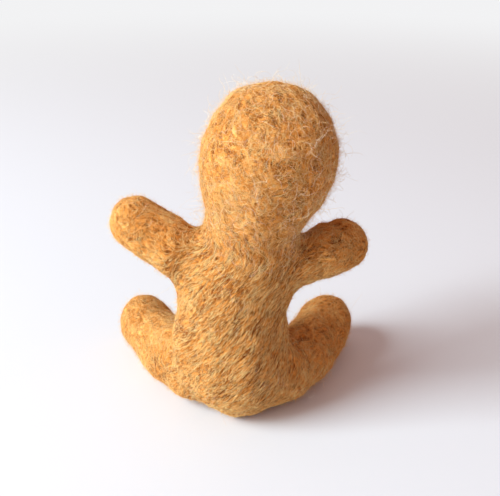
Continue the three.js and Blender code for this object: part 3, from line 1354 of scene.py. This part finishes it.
@dataclass(frozen=True, kw_only=True)
class StrayHair(FibreKind):
    """Fibre with one end free, which leaves the surface in a curl.

    It leans up from the surface by degrees, and its curl is in degrees for each millimetre.
    """

    lean: tuple[float, float]
    curl: float
    wander: float = 0.3
    sink: float = 0.15 * MM
    reach: float = 8 * MM
    paleness: float = 0.38
    contrast: float = 0.6

    def grow(self, surface: FeltSurface, roots: Array, rng: np.random.Generator) -> Fibres:
        """Lets hairs grow away from the surface.

        Args:
            surface: The felt.
            roots: Vertices where the hairs begin.
            rng: Source of the chances.

        Returns:
            The hairs.
        """
        count = len(roots)
        normal = surface.normals[roots]
        along = turned(surface.flow[roots], normal, rng.uniform(-math.pi, math.pi, count))
        lean = np.radians(rng.uniform(*self.lean, count))[:, None]
        ahead = unit(along * np.cos(lean) + normal * np.sin(lean))
        bend_axis = unit(rng.normal(size=(count, 3)))
        step = rng.uniform(*self.length, count) / (self.stations - 1)
        turn = np.radians(np.abs(rng.normal(self.curl, self.curl / 2, count))) * step / MM
        stations = [surface.points[roots] - normal * self.sink]
        for _ in range(self.stations - 1):
            stations.append(stations[-1] + ahead * step[:, None])
            bend_axis = unit(bend_axis + rng.normal(0, self.wander, (count, 3)))
            ahead = unit(turned(ahead, bend_axis, turn))
        low, high = (np.array(corner) for corner in CAD_BOX)
        paths = np.clip(np.stack(stations, axis=1), low - self.reach, high + self.reach)
        shades = self.shades(surface, roots, rng) * self.contrast + self.paleness
        radii = rng.uniform(*self.radius, count)
        return Fibres(roots, paths, radii, np.clip(shades, *self.shade_range))


STRANDS = MattedStrand(
    label="strands",
    spacing=0.26 * MM,
    length=(1.4 * MM, 3.8 * MM),
    radius=(0.022 * MM, 0.056 * MM),
    lift=(0.04 * MM, 0.16 * MM),
    disorder=0.9,
    stations=3,
    cover=(1.3, 0.7),
    under=0.25,
)
CURLS = MattedStrand(
    label="curls",
    spacing=0.6 * MM,
    length=(2.6 * MM, 6.5 * MM),
    radius=(0.035 * MM, 0.065 * MM),
    lift=(0.05 * MM, 0.22 * MM),
    disorder=1.3,
    stations=6,
    cover=(0.0, 1.0),
    paleness=0.08,
)
WISPS = MattedStrand(
    label="wisps",
    spacing=2.2 * MM,
    length=(4 * MM, 8 * MM),
    radius=(0.034 * MM, 0.052 * MM),
    lift=(0.08 * MM, 0.24 * MM),
    disorder=0.7,
    stations=6,
    cover=(2.0, 0.6),
    paleness=0.24,
)
FUZZ = StrayHair(
    label="fuzz",
    spacing=0.55 * MM,
    length=(0.6 * MM, 1.9 * MM),
    radius=(0.014 * MM, 0.022 * MM),
    lean=(15, 75),
    curl=48,
    stations=3,
    cover=(0.8, 1.2),
)
FRIZZ = StrayHair(
    label="frizz",
    spacing=1.4 * MM,
    length=(2.5 * MM, 6 * MM),
    radius=(0.016 * MM, 0.026 * MM),
    lean=(8, 50),
    curl=52,
    stations=7,
    cover=(0.1, 1.0),
    is_loose=True,
)
HAIRS = StrayHair(
    label="hairs",
    spacing=3.2 * MM,
    length=(5 * MM, 11 * MM),
    radius=(0.016 * MM, 0.026 * MM),
    lean=(8, 60),
    curl=34,
    stations=11,
    cover=(0.1, 1.0),
    is_loose=True,
)


@dataclass
class Fleece:
    """Sows fibres on the felt and makes tubes of them."""

    surface: FeltSurface
    floor_gap: float = 0.1 * MM
    facing_down: tuple[float, float] = (0.2, 0.7)
    low_down: tuple[float, float] = (1 * MM, 5 * MM)
    taper: float = 0.5
    map_length: tuple[float, float] = (0.02, 0.98)
    map_width: float = 0.03
    map_range: tuple[float, float] = (0.01, 0.99)

    def seed_roots(self, spacing: float, rng: np.random.Generator, share: Array) -> Array:
        """Picks the vertices where fibres begin.

        Args:
            spacing: Usual distance between fibres.
            rng: Source of the chances.
            share: Share of the fibres that each vertex keeps.

        Returns:
            The vertices, some of them more than once.
        """
        chance = self.surface.areas / spacing**2 * share
        counts = np.floor(chance + rng.random(len(chance))).astype(int)
        return np.repeat(np.arange(len(chance)), counts)

    def exposed(self) -> Array:
        """Share of the fibres that each vertex keeps: none under the doll."""
        facing_down = smoothstep(*self.facing_down, -self.surface.normals[:, 2])
        return 1 - facing_down * (1 - smoothstep(*self.low_down, self.surface.points[:, 2]))

    def tubes(self, name: str, fibres: Fibres) -> bpy.types.Object:
        """Makes closed three-sided tubes with pointed ends.

        Args:
            name: Name of the piece.
            fibres: The fibres that it holds.

        Returns:
            One object with all the tubes and their maps.
        """
        paths = fibres.paths.copy()
        count, stations, _ = paths.shape
        paths[:, :, 2] = np.maximum(paths[:, :, 2], self.floor_gap)
        ahead = unit(paths[:, 2:] - paths[:, :-2])
        spare = np.eye(3)[np.abs(ahead.mean(axis=1)).argmin(axis=1)][:, None, :]
        side = unit(np.cross(ahead, np.broadcast_to(spare, ahead.shape)))
        other = np.cross(ahead, side)
        taper = np.sin(np.linspace(0, math.pi, stations)[1:-1]) ** self.taper
        width = (fibres.radii[:, None] * taper)[:, :, None]
        angles = np.arange(RING) * math.tau / RING
        spokes = [side * math.cos(turn) + other * math.sin(turn) for turn in angles]
        rings = [paths[:, 1:-1] + spoke * width for spoke in spokes]
        middle = np.stack(rings, axis=2).reshape(count, -1, 3)
        points = np.concatenate([paths[:, :1], middle, paths[:, -1:]], axis=1)
        item = add_mesh(name, points.reshape(-1, 3), self.tube_faces(count, stations - 2))
        spots = self.tube_spots(fibres.shades, stations)
        set_map(item.data, BAKE_MAP, spots)
        set_map(item.data, FIBRE_MAP, spots)
        return item

    def tube_faces(self, count: int, rings: int) -> list[Array]:
        """Faces of the tubes: the walls between rings, and a point at each end.

        Args:
            count: How many tubes there are.
            rings: Rings of one tube.

        Returns:
            The four-sided faces, then the three-sided ones of both ends.
        """
        here = np.arange(RING)
        after = (here + 1) % RING
        low = 1 + RING * np.arange(rings - 1)[:, None]
        last = 1 + RING * (rings - 1)
        tip = np.full(RING, last + RING)
        walls = np.stack([low + here, low + after, low + RING + after, low + RING + here], axis=-1)
        starts = np.stack([np.zeros(RING, int), 1 + after, 1 + here], axis=-1)
        ends = np.stack([tip, last + here, last + after], axis=-1)
        first = np.arange(count)[:, None, None] * (RING * rings + 2)
        kinds = (faces.reshape(-1, faces.shape[-1]) for faces in (walls, starts, ends))
        return [(faces + first).reshape(-1, faces.shape[-1]) for faces in kinds]

    def tube_spots(self, shades: Array, stations: int) -> Array:
        """Lays out the maps of the tubes.

        Args:
            shades: Shade of each tube.
            stations: Stations of one tube.

        Returns:
            Shade and place along its fibre of every point.
        """
        along = np.linspace(*self.map_length, stations)
        places = np.concatenate([along[:1], np.repeat(along[1:-1], RING), along[-1:]])
        ring = np.linspace(-self.map_width, self.map_width, RING)
        offsets = np.concatenate([[0.0], np.tile(ring, stations - 2), [0.0]])
        across = np.clip(shades[:, None] + offsets, *self.map_range)
        return np.stack(np.broadcast_arrays(across, places), axis=-1).reshape(-1, 2)


# The doll


@dataclass
class Doll:
    """The whole doll: felt walls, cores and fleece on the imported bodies."""

    forms: list[Form]
    core_voxel: float = 1.0 * MM
    core_passes: int = 6
    core_lumps: Swell = Swell(6 * MM, 0.12 * MM, SEED + 20)
    core_gap: float = 0.2 * MM
    core_tone: float = 0.5
    core_mottle: Swell = Swell(3 * MM, 0.15, SEED + 21)
    tightness: float = 0.9
    fleece_seed: int = SEED + 30
    fewest: int = 10
    surface: FeltSurface = field(init=False)
    coat: bpy.types.Material = field(init=False)
    core: bpy.types.Material = field(init=False)
    strand: bpy.types.Material = field(init=False)
    loose: bpy.types.Material = field(init=False)

    def build(self) -> None:
        """Builds and dresses every piece."""
        self.coat = COAT_FELT.material()
        self.core = CORE_FELT.material()
        self.strand = STRAND_WOOL.material()
        self.loose = LOOSE_WOOL.material()
        self.surface = FeltSurface(self.forms)
        self.surface.build()
        self.build_felt()
        self.build_cores()
        self.build_fleece()

    def carry(self, piece: bpy.types.Object, form: Form | None) -> None:
        """Puts a piece on the torso, or for a form applies the piece's place to its mesh.

        Args:
            piece: The piece to carry.
            form: Its form, or none for the torso.
        """
        if form is None:
            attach(piece, ROOT_BODY)
        else:
            form.bend(piece)

    def finish(self, piece: bpy.types.Object, slot: Slot, material: bpy.types.Material) -> None:
        """Gives a piece its wool.

        Args:
            piece: The piece to dress.
            slot: Its wool in the record.
            material: The finish of that wool.
        """
        piece.data.materials.append(material)
        log.info("%s: %d faces, %s", piece.name, len(piece.data.polygons), slot.value)

    def build_felt(self) -> None:
        """Cuts the coats and collars from the felted surface."""
        for name in self.surface.names:
            piece = self.surface.cut(name)
            self.carry(piece, self.surface.form_of(name))
            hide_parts(name)
            slot = Slot.COLLAR if name.endswith("collar") else Slot.COAT
            self.finish(piece, slot, self.coat)

    def build_cores(self) -> None:
        """Makes the firm cores of undyed wool."""
        for form in [None, *self.forms]:
            node = TORSO_CORE if form is None else form.core
            piece = loose_copy(node)
            piece.name = node.replace("core", "stuffing")
            self.shape_core(piece)
            self.carry(piece, form)
            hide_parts(node)
            self.finish(piece, Slot.CORE, self.core)

    def shape_core(self, piece: bpy.types.Object) -> None:
        """Gives a core the lumps and the attributes of felt, and keeps it under the wall.

        Args:
            piece: Copy of the core's CAD node.
        """
        piece.data.materials.clear()
        apply_modifier(piece, "REMESH", mode="VOXEL", voxel_size=self.core_voxel)
        apply_modifier(piece, "SMOOTH", factor=SMOOTHING, iterations=self.core_passes)
        mesh = piece.data
        points = read_points(mesh)
        lumps = self.core_lumps.at(points) - self.core_lumps.height
        points = points + read_normals(mesh) * lumps[:, None]
        write_points(mesh, self.surface.keep_under(points, self.surface.wall + self.core_gap))
        mesh.shade_smooth()
        set_attribute(mesh, PLACE_ATTRIBUTE, points / MM)
        set_attribute(mesh, TONE_ATTRIBUTE, self.core_tone + self.core_mottle.at(points))
        set_attribute(mesh, PIT_ATTRIBUTE, np.zeros(len(points)))

    def build_fleece(self) -> None:
        """Grows the fibres and sorts them into pieces."""
        rng = np.random.default_rng(self.fleece_seed)
        surface = self.surface
        fleece = Fleece(surface)
        exposed = fleece.exposed()
        head = next(form for form in self.forms if form.body == HEAD_BODY)
        on_head = np.isin(surface.owner, surface.indices(head))
        for kind in (STRANDS, CURLS, WISPS, FUZZ, FRIZZ, HAIRS):
            cover = ramp(kind.cover, on_head if kind.is_loose else surface.matted)
            share = ramp((kind.under, 1.0), exposed) * cover
            roots = fleece.seed_roots(kind.spacing, rng, share)
            wool = self.loose if kind.is_loose else self.strand
            self.sort_fibres(fleece, kind.label, kind.grow(surface, roots, rng), wool)

    def sort_fibres(
        self, fleece: Fleece, label: str, fibres: Fibres, wool: bpy.types.Material
    ) -> None:
        """Makes a piece of fibres for each form, and two for the torso and the head.

        Args:
            fleece: Makes the tubes.
            label: End of the pieces' names.
            fibres: All fibres of one kind.
            wool: Their material.
        """
        surface = self.surface
        owner = surface.owner[fibres.roots]
        is_back = surface.points[fibres.roots, 1] < 0
        halves = {"back": is_back, "front": ~is_back}
        for form in [None, *self.forms]:
            body = ROOT_BODY if form is None else form.body
            own = owner == 0 if form is None else np.isin(owner, surface.indices(form))
            groups = {body: own}
            if body in (ROOT_BODY, HEAD_BODY):
                groups = {f"{body}_{side}": own & half for side, half in halves.items()}
            for name, chosen in groups.items():
                if chosen.sum() < self.fewest:
                    continue
                piece = fleece.tubes(f"{name}_{label}", fibres.chosen(chosen))
                self.carry(piece, form)
                self.finish(piece, Slot.COAT, wool)


# The studio


@dataclass(frozen=True)
class Lamp:
    """A soft square lamp that is aimed at the doll."""

    name: str
    place: tuple[float, float, float]
    size: float
    power: float
    colour: tuple[float, float, float]

    def build(self, target: Vector) -> None:
        """Adds the lamp.

        Args:
            target: The point that it is aimed at.
        """
        light = bpy.data.lights.new(self.name, "AREA")
        light.size = self.size
        light.energy = self.power
        light.color = self.colour
        holder = bpy.data.objects.new(self.name, light)
        bpy.context.scene.collection.objects.link(holder)
        holder.location = self.place
        holder.rotation_euler = (target - holder.location).to_track_quat("-Z", "Y").to_euler()


KEY_LAMP = Lamp("key", place=(-0.87, -0.30, 0.66), size=0.55, power=17.0, colour=(0.91, 1.05, 1.12))
SIDE_LAMP = Lamp("side", place=(-1.0, -0.55, 0.10), size=0.5, power=7.0, colour=(0.88, 1.03, 1.12))


@dataclass(frozen=True)
class Studio:
    """Pale floor, soft light from the left and the camera."""

    floor_radius: float = 4.0
    floor_sides: int = 64
    floor_roughness: float = 0.8
    floor_shine: float = 0.1
    floor_colour: Colour = (0.79, 0.81, 0.83, 1.0)
    sky_colour: Colour = (1.0, 0.69, 0.64, 1.0)
    sky_strength: float = 0.46
    backdrop_colour: Colour = (0.89, 0.89, 0.90, 1.0)
    floor_fade: tuple[float, float] = (0.12, 0.7)
    target: tuple[float, float, float] = (2.75 * MM, 0.0, 47.52 * MM)
    distance: float = 188.26 * MM
    elevation: float = 25.86
    bearing: float = 1.92
    lens: float = 55.08
    sensor: float = 36.0
    near_clip: float = 10 * MM

    def build(self) -> None:
        """Sets up floor, light, sky and camera."""
        self.add_floor()
        for lamp in (KEY_LAMP, SIDE_LAMP):
            lamp.build(Vector(self.target))
        self.add_sky()
        self.add_camera()
        bpy.context.scene.view_settings.view_transform = "Standard"

    def add_floor(self) -> None:
        """Adds the plain floor under the doll."""
        bpy.ops.object.select_all(action="DESELECT")
        settings = {"vertices": self.floor_sides, "radius": self.floor_radius, "fill_type": "NGON"}
        bpy.ops.mesh.primitive_circle_add(**settings)
        floor = bpy.context.object
        floor.name = "floor"
        paint = bpy.data.materials.new("pale_floor")
        paint.use_nodes = True
        shader = paint.node_tree.nodes["Principled BSDF"]
        shader.inputs["Base Color"].default_value = self.floor_colour
        shader.inputs["Roughness"].default_value = self.floor_roughness
        shader.inputs["Specular IOR Level"].default_value = self.floor_shine
        self.fade_floor(NodeSketch(paint.node_tree), shader)
        floor.data.materials.append(paint)

    def fade_floor(self, sketch: NodeSketch, shader: bpy.types.Node) -> None:
        """Lets the far floor pass into the backdrop, for what the camera sees.

        Args:
            sketch: The floor's node tree.
            shader: The floor's own shader.
        """
        place = sketch.node("TexCoord").outputs["Object"]
        distance = sketch.node("VectorMath", {0: place}, operation="LENGTH").outputs["Value"]
        share = sketch.math("MULTIPLY", sketch.rise(distance, *self.floor_fade), self.seen(sketch))
        glow = sketch.node("Emission", {"Color": self.backdrop_colour, "Strength": 1.0})
        both = sketch.node("MixShader", {0: share, 1: shader.outputs[0], 2: glow.outputs[0]})
        sketch.feed(sketch.tree.nodes["Material Output"].inputs["Surface"], both.outputs[0])

    def seen(self, sketch: NodeSketch) -> bpy.types.NodeSocket:
        """Tells what the camera sees from other light.

        Args:
            sketch: The node tree that asks.

        Returns:
            1 for what is seen, straight or through gloss and glass, and 0 for other light.
        """
        rays = sketch.node("LightPath").outputs
        mirrored = sketch.math("MAXIMUM", rays["Is Glossy Ray"], rays["Is Transmission Ray"])
        return sketch.math("MAXIMUM", rays["Is Camera Ray"], mirrored)

    def add_sky(self) -> None:
        """Sets the even light from all round."""
        world = bpy.data.worlds.new("studio")
        world.use_nodes = True
        bpy.context.scene.world = world
        sketch = NodeSketch(world.node_tree)
        sky = world.node_tree.nodes["Background"]
        sky.inputs["Color"].default_value = self.sky_colour
        sky.inputs["Strength"].default_value = self.sky_strength
        backdrop = sketch.node("Background", {"Color": self.backdrop_colour, "Strength": 1.0})
        shaders = {0: self.seen(sketch), 1: sky.outputs[0], 2: backdrop.outputs[0]}
        both = sketch.node("MixShader", shaders)
        sketch.feed(world.node_tree.nodes["World Output"].inputs["Surface"], both.outputs[0])

    def add_camera(self) -> None:
        """Adds the camera behind and above the doll."""
        rise, side = math.radians(self.elevation), math.radians(self.bearing)
        back = Vector((-math.sin(side) * math.cos(rise), -math.cos(side) * math.cos(rise), math.sin(rise)))
        lens = bpy.data.cameras.new("camera")
        lens.lens = self.lens
        lens.sensor_width = self.sensor
        lens.clip_start = self.near_clip
        camera = bpy.data.objects.new("camera", lens)
        bpy.context.scene.collection.objects.link(camera)
        camera.location = Vector(self.target) + back * self.distance
        camera.rotation_euler = (-back).to_track_quat("-Z", "Y").to_euler()
        bpy.context.scene.camera = camera


def main() -> None:
    """Builds the studio and the doll."""
    logging.basicConfig(level=logging.INFO, format="%(name)s: %(message)s")
    Studio().build()
    Doll([Form.from_joint(joint) for joint in frame["joints"]]).build()


if __name__ == "__main__":
    main()
